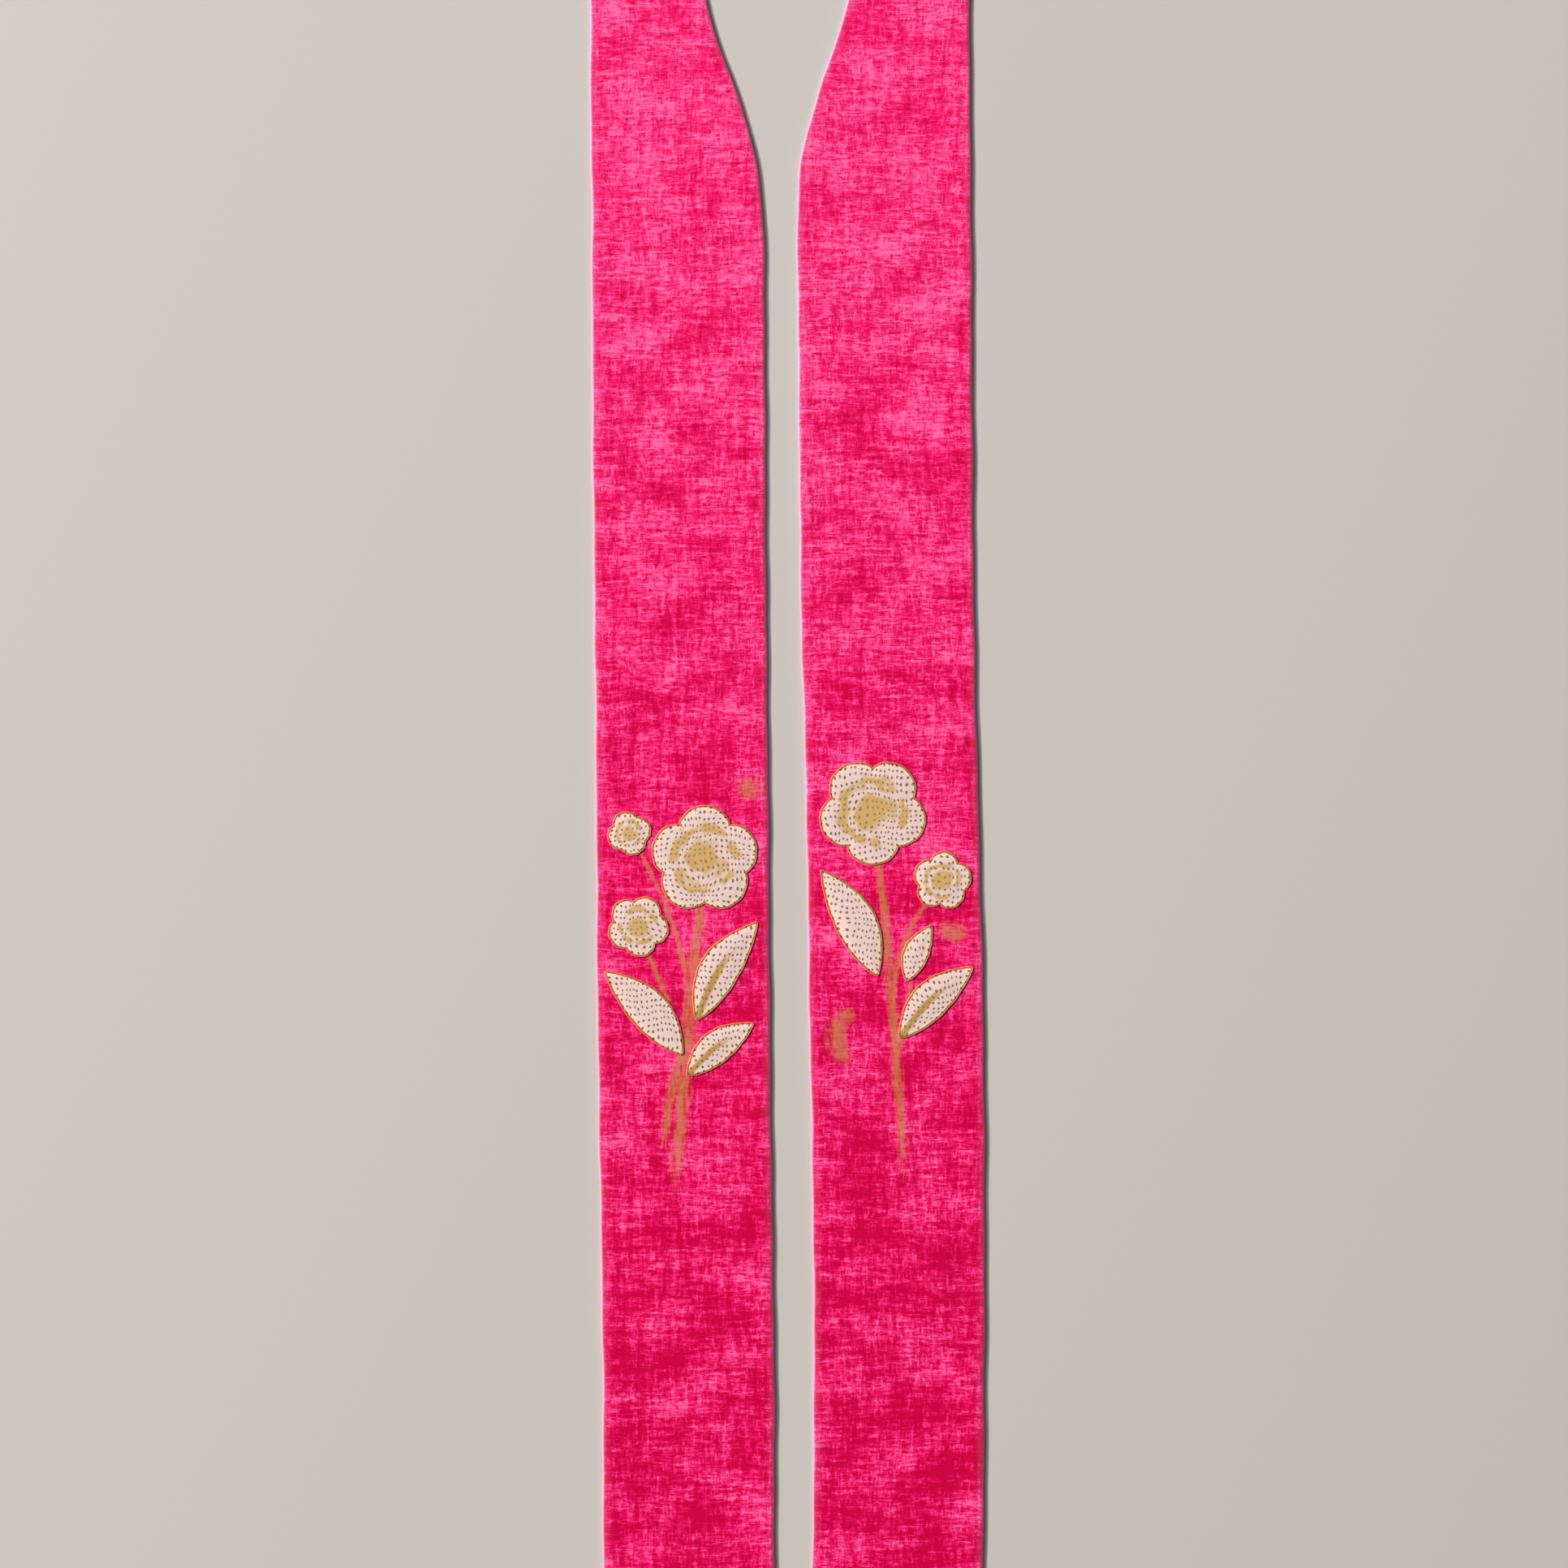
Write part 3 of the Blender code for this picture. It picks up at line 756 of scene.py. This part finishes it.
def make_leaf(leaf):
    """Sections from tip to tip, each from one edge over the upper face and back underneath."""
    stations = round(leaf.length / LEAF_STATION)
    crowded = 0.5 - 0.5 * np.cos(np.linspace(0.0, math.pi, stations + 1))
    even = np.linspace(0.0, 1.0, stations + 1)
    share_steps = TIP_CROWDING * crowded + (1 - TIP_CROWDING) * even
    middle_columns = round(leaf.width / LEAF_COLUMN)
    fan = len(rim_steps)
    top_columns = 2 * (fan - 1) + middle_columns
    columns = top_columns + len(UNDER_COLUMNS) + 1
    piece, column, row = grid_piece(leaf.name + "_cloth", columns, stations)
    share = share_steps[row]
    half_width = leaf_half_width(leaf, share)
    squeeze = np.minimum(1.0, half_width / (2 * rim_steps[-1]))
    upper = column <= top_columns

    # Across the top, close together at both rims, then back underneath to the first edge
    from_far = np.minimum(column, top_columns - column)
    inset = rim_steps[np.clip(from_far, 0, fan - 1)] * squeeze
    first = half_width - rim_steps[-1] * squeeze
    middle_share = np.clip((column - fan + 1) / middle_columns, 0.0, 1.0)
    sign = np.where(column < top_columns / 2, -1, 1)
    top_away = np.where(from_far < fan, sign * (half_width - inset), first * (2 * middle_share - 1))
    under_step = np.clip(column - top_columns - 1, 0, len(UNDER_COLUMNS) - 1)
    under_away = half_width * (1 - 2 * UNDER_COLUMNS[under_step])
    last = column == columns
    away = np.where(upper, top_away, np.where(last, -half_width, under_away))
    to_edge = np.maximum(np.where(last, 0.0, half_width - np.abs(away)), 0.0)
    along = (share - 0.5) * leaf.length
    bowed = away + leaf.bend * np.sin(math.pi * share)
    extent = leaf.length * 0.51
    return lay_motif(piece, leaf, along, bowed, to_edge, upper, extent, (share, away / leaf.width))


# Fine white cotton, printed: a cream ground that turns a little lilac inside, with upright oval
# dots, 1.4 mm wide and 1.9 mm tall, every 3.3 mm across and 4.4 mm up. A dry brush of gold
# fabric paint covers the blossoms' centres and the ribs of some leaves: it stains the cloth,
# and its mica half hides the dots.
COTTON_CREAM = "#F2D8C1"
COTTON_LILAC = "#E8CDC9"
DOT_DARK = "#6C5246"
DOT_PALE = "#886E5F"
GOLD_TINT = "#DBC76A"
GOLD_BODY = {"centre": "#D2B078", "rib": "#A8823E"}
GOLD_HIDES = {"centre": 0.42, "rib": 0.60}
# Dark brown along the raw edge: gold paint, darkened as a painted shade of the edge's step
EDGE_GOLD_AND_SHADE = "#B07A48"
DOT_ACROSS = 3.3
DOT_APART = 4.4


def dotted_print(tree, mm, to_edge):
    """The printed cotton's colour, before any paint."""
    dot_grid = add(tree, "Mapping", {"Vector": mm, "Scale": (1 / DOT_ACROSS, 1 / DOT_APART, 0.0)})
    cell_inputs = {"Vector": dot_grid, "Scale": 1.0, "Randomness": 0.34}
    cells = add(tree, "TexVoronoi", cell_inputs, voronoi_dimensions="2D")
    chance = add(tree, "SeparateColor", {"Color": cells.outputs["Color"]})
    ragged = thread_marks(tree, mm, (0.9, 0.9, 0.9), 1.0)
    spread = blended(tree, cells.outputs["Distance"], [(0.04, chance.outputs["Red"]), (0.10, ragged)])
    dot = eased(tree, spread, 0.180, 0.255, 0.95, 0.0)
    inside = eased(tree, to_edge, 0.0012, 0.0050)
    mottle = thread_marks(tree, mm, (7.0, 7.0, 7.0), 2.0, (3.0, 8.0, 0.0))
    lilac = blended(tree, inside, [(0.9, mottle)])
    ground_inputs = {"Factor": lilac, "A": linear(COTTON_CREAM), "B": linear(COTTON_LILAC)}
    ground = add(tree, "Mix", ground_inputs, data_type="RGBA")
    dot_colour_inputs = {"Factor": chance.outputs["Green"], "A": linear(DOT_DARK), "B": linear(DOT_PALE)}
    dot_colour = add(tree, "Mix", dot_colour_inputs, data_type="RGBA")
    print_inputs = {"Factor": dot, "A": ground, "B": dot_colour}
    return add(tree, "Mix", print_inputs, data_type="RGBA")


def centre_brushing(tree, mm, paint_place, shift):
    """Where gold covers a blossom, and its bristle marks: a disc, a broken ring and a thin wash."""
    flat = add(tree, "VectorMath", {0: paint_place, 1: (1.0, 1.0, 0.0)}, operation="MULTIPLY")
    reach = add(tree, "VectorMath", {0: flat}, operation="LENGTH")
    facing = add(tree, "VectorMath", {0: flat}, operation="NORMALIZE")
    facing_parts = add(tree, "SeparateXYZ", {"Vector": facing})
    # Bristles leave rings round the centre: slow changes around it, quick ones outwards
    brush_inputs = {
        "X": facing_parts.outputs["X"],
        "Y": facing_parts.outputs["Y"],
        "Z": add(tree, "Math", {0: reach, 1: 15.0}, operation="MULTIPLY"),
    }
    brush_place = add(tree, "CombineXYZ", brush_inputs)
    brush_place = add(tree, "VectorMath", {0: brush_place, 1: shift}, operation="ADD")
    bristles = add(tree, "TexNoise", {"Vector": brush_place, "Scale": 1.0, "Detail": 2.0})
    broken_place = add(tree, "VectorMath", {0: facing, 1: shift}, operation="ADD")
    gaps = add(tree, "TexNoise", {"Vector": broken_place, "Scale": 1.15, "Detail": 1.0})
    broken = eased(tree, gaps, 0.37, 0.52)
    lobes = thread_marks(tree, mm, (11.0, 11.0, 11.0), 1.0, (1.0, 6.0, 0.0))
    uneven = blended(tree, reach, [(0.60, lobes)])
    disc = eased(tree, uneven, 0.18, 0.52, 1.0, 0.0)
    ring_reach = blended(tree, reach, [(0.30, lobes)])
    off_ring = add(tree, "Math", {0: ring_reach, 1: 0.57}, operation="SUBTRACT")
    off_ring = add(tree, "Math", {0: off_ring}, operation="ABSOLUTE")
    ring = eased(tree, off_ring, 0.02, 0.16, 0.95, 0.0)
    ring = add(tree, "Math", {0: ring, 1: broken}, operation="MULTIPLY")
    wash = eased(tree, uneven, 0.50, 0.75, 0.22, 0.0)
    covered = add(tree, "Math", {0: disc, 1: ring}, operation="MAXIMUM")
    return add(tree, "Math", {0: covered, 1: wash}, operation="MAXIMUM"), bristles


def rib_brushing(tree, paint_place):
    """Where gold covers a leaf, and its bristle marks: a rib that dies out before the tip."""
    parts = add(tree, "SeparateXYZ", {"Vector": paint_place})
    rib_place = add(tree, "Mapping", {"Vector": paint_place, "Scale": (4.0, 26.0, 0.0)})
    bristles = add(tree, "TexNoise", {"Vector": rib_place, "Scale": 1.0, "Detail": 2.0})
    off_rib = add(tree, "Math", {0: parts.outputs["Y"]}, operation="ABSOLUTE")
    body = eased(tree, off_rib, 0.030, 0.150, 1.0, 0.0)
    tapered = eased(tree, parts.outputs["X"], 0.40, 0.85, 1.0, 0.0)
    return add(tree, "Math", {0: body, 1: tapered}, operation="MULTIPLY"), bristles


def dotted_cotton(name, shift, painted):
    material, tree = blank_material(name)
    place = add(tree, "Attribute", {}, attribute_name=DOT_PLACE).outputs["Vector"]
    mapped = add(tree, "Mapping", {"Vector": place, "Location": shift, "Scale": (MM, MM, 0.0)})
    mm = wandering(tree, mapped, 24.0, 11.0)
    to_edge = add(tree, "SeparateXYZ", {"Vector": place}).outputs["Z"]
    cloth_colour = dotted_print(tree, mm, to_edge)

    if painted:
        paint_place = add(tree, "Attribute", {}, attribute_name=PAINT_PLACE).outputs["Vector"]
        if painted == "centre":
            covered, bristles = centre_brushing(tree, mm, paint_place, shift)
        else:
            covered, bristles = rib_brushing(tree, paint_place)
        grain = thread_marks(tree, mm, (1.6, 1.6, 1.6), 2.0, (7.0, 2.0, 0.0))
        paint = dry_brushed(tree, covered, [(0.9, bristles), (0.5, grain)], 1.10, 0.95, 0.10)
        gold_inputs = {"Factor": paint, "A": cloth_colour, "B": linear(GOLD_TINT)}
        gold = add(tree, "Mix", gold_inputs, data_type="RGBA", blend_type="MULTIPLY")
        hidden = add(tree, "Math", {0: paint, 1: GOLD_HIDES[painted]}, operation="MULTIPLY")
        hidden_inputs = {"Factor": hidden, "A": gold, "B": linear(GOLD_BODY[painted])}
        cloth_colour = add(tree, "Mix", hidden_inputs, data_type="RGBA")

    # The gold line along the raw edge soaks a millimetre into the cloth, unevenly. Its dark brown is
    # partly the gold paint and partly painted shade of the edge's step
    soak = thread_marks(tree, mm, (2.4, 2.4, 2.4), 2.0, (5.0, 3.0, 0.0))
    soaked_to = blended(tree, to_edge, [(0.0011, soak)])
    rim = eased(tree, soaked_to, 0.0006, 0.0014, 0.9, 0.0)
    rim_inputs = {"Factor": rim, "A": cloth_colour, "B": linear(EDGE_GOLD_AND_SHADE)}
    cloth_colour = add(tree, "Mix", rim_inputs, data_type="RGBA", blend_type="MULTIPLY")

    weft_threads = thread_marks(tree, mapped, (2.6, 0.5, 2.0), 1.0)
    warp_threads = thread_marks(tree, mapped, (0.5, 2.6, 2.0), 1.0)
    relief = blended(tree, 0.0, [(0.6, weft_threads), (0.6, warp_threads)])
    bump = add(tree, "Bump", {"Height": relief, "Strength": 0.3, "Distance": 0.0002})
    cloth_inputs = {
        "Base Color": cloth_colour,
        "Roughness": 0.85,
        "Specular IOR Level": 0.12,
        "Sheen Weight": 0.05,
        "Sheen Roughness": 0.5,
        "Normal": bump,
    }
    add(tree, "OutputMaterial", {"Surface": add(tree, "BsdfPrincipled", cloth_inputs)})
    return material


# THE GOLD EDGING
# A fine line of gold fabric paint that seals each raw edge. It dries as a low, uneven bead half on
# the dotted cloth and half on the pink, and a few cut yarns fray out through it.

BEAD_RADIUS = 0.00042
BEAD_RISE = 0.00026
BEAD_OUT = -0.00024
BEAD_STEP = 0.00065
BEAD_SIDES = 10
BEAD_STRAY = 0.00010
BEAD_SWELL = 0.16
YARN_RADIUS = 0.00007
YARN_POINTS = 5
YARNS_PER_METRE = 60
YARN_SHORTEST = 0.0008
YARN_LONGEST = 0.0030
YARN_LEAN = 1.2
YARN_CURL = 0.8
YARN_RISE = 0.0004
YARN_LIFT = 0.0001
OUTLINE_STEPS = 1600
NORMAL_REACH = 2
# The bead's inner side: partly the paint over the white cloth, partly painted shade
GOLD_INNER_SHADED = "#9C5E32"
GOLD_OUTER = "#FA8C66"


def blossom_line(blossom):
    angle = np.linspace(0, 2 * math.pi, OUTLINE_STEPS, endpoint=False)
    reach = blossom_reach(blossom, angle)
    return np.array(turned_onto(blossom, reach * np.cos(angle), reach * np.sin(angle)))


def leaf_line(leaf):
    half = OUTLINE_STEPS // 2
    out = np.linspace(0.0, 1.0, half, endpoint=False)
    share = np.concatenate([out, 1.0 - out])
    side = np.repeat([-1.0, 1.0], half)
    away = side * leaf_half_width(leaf, share) + leaf.bend * np.sin(math.pi * share)
    return np.array(turned_onto(leaf, (share - 0.5) * leaf.length, away))


def even_along(line, count):
    """Points evenly spaced round a closed line, and the unit normals that point inwards there."""
    closed = np.append(line, line[:, :1], axis=1)
    reached = np.concatenate([[0.0], np.cumsum(np.hypot(*np.diff(closed)))])
    wanted = np.linspace(0, reached[-1], count, endpoint=False)
    even = np.array([np.interp(wanted, reached, row) for row in closed])
    run_x, run_y = np.roll(even, -NORMAL_REACH, axis=1) - np.roll(even, NORMAL_REACH, axis=1)
    return even, np.array([-run_y, run_x]) / np.hypot(run_x, run_y)


# Gold fabric paint: fine mica flakes in acrylic, satin rather than bright, and thin enough for
# the pink to warm it where it lies on the front
gold_paint, paint_tree = blank_material("gold_mica_fabric_paint")
inward_share = add(paint_tree, "Attribute", {}, attribute_name="inward").outputs["Fac"]
bead_place = add(paint_tree, "TexCoord", {}).outputs["Object"]
bead_mm = add(paint_tree, "Mapping", {"Vector": bead_place, "Scale": (MM, MM, MM)})
pooled = thread_marks(paint_tree, bead_mm, (2.2, 2.2, 2.2), 2.0)
flakes = thread_marks(paint_tree, bead_mm, (0.5, 0.5, 0.5), 1.0, (3.0, 5.0, 7.0))
# The inner side of the bead turns dark brown, partly the paint over the white cloth and partly painted
# shade of the bead's inner side
gold_side = eased(paint_tree, inward_share, 0.42, 0.82)
gold_share = blended(paint_tree, gold_side, [(0.6, pooled), (0.4, flakes)])
gold_mix = {"Factor": gold_share, "A": linear(GOLD_OUTER), "B": linear(GOLD_INNER_SHADED)}
gold_colour = add(paint_tree, "Mix", gold_mix, data_type="RGBA")
dried = add(paint_tree, "Bump", {"Height": flakes, "Strength": 0.3, "Distance": 0.0002})
paint_inputs = {"Base Color": gold_colour, "Metallic": 0.25, "Roughness": 0.45, "Normal": dried}
add(paint_tree, "OutputMaterial", {"Surface": add(paint_tree, "BsdfPrincipled", paint_inputs)})

fraying = np.random.default_rng(11)


def add_line(curve, places, radii, closed):
    spline = curve.splines.new("POLY")
    spline.points.add(len(places) - 1)
    spline.points.foreach_set("co", np.column_stack([places, np.ones(len(places))]).ravel())
    spline.points.foreach_set("radius", radii)
    spline.use_cyclic_u = closed


def add_yarn(curve, side, root, inward):
    """One cut yarn that leans and curls outwards from a point of a motif's edge."""
    reach = fraying.uniform(YARN_SHORTEST, YARN_LONGEST)
    lean = fraying.uniform(-YARN_LEAN, YARN_LEAN)
    curl = fraying.uniform(-YARN_CURL, YARN_CURL)
    t = np.linspace(0.0, 1.0, YARN_POINTS)
    outwards = -reach * t
    sideways = reach * (lean * t + curl * t**2)
    x = root[0] + outwards * inward[0] - sideways * inward[1]
    y = root[1] + outwards * inward[1] + sideways * inward[0]
    z = front_top(side, x, y) + YARN_RISE * (1 - t) + YARN_LIFT
    radii = np.full(YARN_POINTS, YARN_RADIUS / BEAD_RADIUS)
    add_line(curve, np.column_stack([x, y, z]), radii, False)


def store_inward(mesh, bead_line, inward):
    """Stores how far inwards each point of the bead lies, from its outer side to its inner one."""
    # The converted bead comes first, as one ring of points for each point of its line
    bead_points = len(bead_line) * BEAD_SIDES
    bead = points_of(mesh)[:bead_points].reshape(-1, BEAD_SIDES, 3)
    off_line = ((bead[..., :2] - bead_line[:, None, :2]) * inward.T[:, None]).sum(axis=2)
    shares = np.zeros(len(mesh.vertices))
    shares[:bead_points] = 0.5 + 0.5 * np.clip(off_line / BEAD_RADIUS, -1.0, 1.0).ravel()
    store(mesh, "inward", shares)


def make_edging(motif, line):
    """The bead of paint round a motif, with the yarns that fray out through it."""
    length = np.hypot(*np.diff(line)).sum()
    count = round(length / BEAD_STEP)
    even, inward = even_along(line, count)
    round_it = 2 * math.pi * np.arange(count) / count
    stray = 0.5 * np.sin(9 * round_it + motif.turn) + 0.5 * np.sin(23 * round_it + 2 * motif.turn)
    bead_x, bead_y = even + (BEAD_OUT + BEAD_STRAY * stray) * inward
    bead_z = front_top(motif.side, bead_x, bead_y) + BEAD_RISE
    bead_line = np.column_stack([bead_x, bead_y, bead_z])
    swell = 0.5 * np.sin(31 * round_it) + 0.5 * np.sin(14 * round_it + motif.turn)
    curve = bpy.data.curves.new(motif.name + "_edging", "CURVE")
    curve.dimensions = "3D"
    curve.bevel_depth = BEAD_RADIUS
    curve.bevel_resolution = BEAD_SIDES // 2 - 2
    add_line(curve, bead_line, 1.0 + BEAD_SWELL * swell, True)
    for _ in range(round(length * YARNS_PER_METRE)):
        root = fraying.integers(count)
        add_yarn(curve, motif.side, even[:, root], inward[:, root])
    edging = bpy.data.objects.new(motif.name + "_edging", curve)
    bpy.context.scene.collection.objects.link(edging)
    bpy.ops.object.select_all(action="DESELECT")
    edging.select_set(True)
    bpy.context.view_layer.objects.active = edging
    bpy.ops.object.convert(target="MESH")
    edging = bpy.context.object
    store_inward(edging.data, bead_line, inward)
    edging.data.shade_smooth()
    return edging


motifs = [(blossom, make_blossom(blossom), blossom_line(blossom)) for blossom in BLOSSOMS]
motifs += [(leaf, make_leaf(leaf), leaf_line(leaf)) for leaf in LEAVES]
for number, (motif, cloth, line) in enumerate(motifs):
    edging = make_edging(motif, line)
    finish_piece(edging, gold_paint)
    painted = "centre" if motif in BLOSSOMS else "rib" if motif.ribbed else None
    print_start = (17.3 * number, 29.1 * number, 0.0)
    cotton = dotted_cotton("dotted_cotton_" + motif.name, print_start, painted)
    finish_piece(cloth, cotton)
    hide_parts(motif.name)


# THE STUDIO
# A plain pale floor under the stole, a low key light far off at the upper left, a weaker light
# nearer and more from the neck's side, and a camera that looks straight down as in the photograph.
FLOOR_SIDE = 24.0
FLOOR_DROP = 0.0001
bpy.ops.object.select_all(action="DESELECT")
bpy.ops.mesh.primitive_plane_add(size=FLOOR_SIDE, location=(0.0, 0.0, -FLOOR_DROP))
floor = bpy.context.object
floor.name = "studio_floor"
board, board_tree = blank_material("pale_matt_board")
board_inputs = {"Base Color": linear("#C6C3BF"), "Roughness": 0.9, "Specular IOR Level": 0.1}
add(board_tree, "OutputMaterial", {"Surface": add(board_tree, "BsdfPrincipled", board_inputs)})
floor.data.materials.append(board)

world = bpy.data.worlds.new("studio_air")
world.use_nodes = True
background = world.node_tree.nodes["Background"]
background.inputs["Color"].default_value = linear("#F4F6FA")
background.inputs["Strength"].default_value = 0.15
bpy.context.scene.world = world


def area_light(name, place, aim, size, power, colour):
    bpy.ops.object.light_add(type="AREA", location=place)
    lamp = bpy.context.object
    lamp.name = name
    lamp.data.size = size
    lamp.data.energy = power
    lamp.data.color = linear(colour)[:3]
    lamp.rotation_euler = (Vector(aim) - Vector(place)).to_track_quat("-Z", "Y").to_euler()


area_light("key_light", (-15.6, 5.9, 7.8), (0.0, -0.1, 0.0), 2.0, 5300.0, "#FFF8F0")
area_light("fill_light", (-7.2, 5.0, 5.7), (0.0, 0.2, 0.0), 3.6, 500.0, "#FFFFFF")

PHOTO_SIDE = 1932
METRES_PER_PIXEL = 0.00056075
NECK_PIXEL_X = 960.0
NECK_PIXEL_Y = -103.8
CAMERA_HEIGHT = 3.2
SENSOR = 36.0
middle = PHOTO_SIDE / 2
camera_x = NECK_X + (middle - NECK_PIXEL_X) * METRES_PER_PIXEL
camera_y = NECK_Y - (middle - NECK_PIXEL_Y) * METRES_PER_PIXEL
bpy.ops.object.camera_add(location=(camera_x, camera_y, CAMERA_HEIGHT))
camera = bpy.context.object
camera.name = "overhead_camera"
camera.data.sensor_width = SENSOR
camera.data.sensor_fit = "HORIZONTAL"
camera.data.lens = SENSOR * CAMERA_HEIGHT / (PHOTO_SIDE * METRES_PER_PIXEL)
camera.data.clip_end = 20.0
bpy.context.scene.camera = camera
bpy.context.scene.view_settings.view_transform = "Standard"
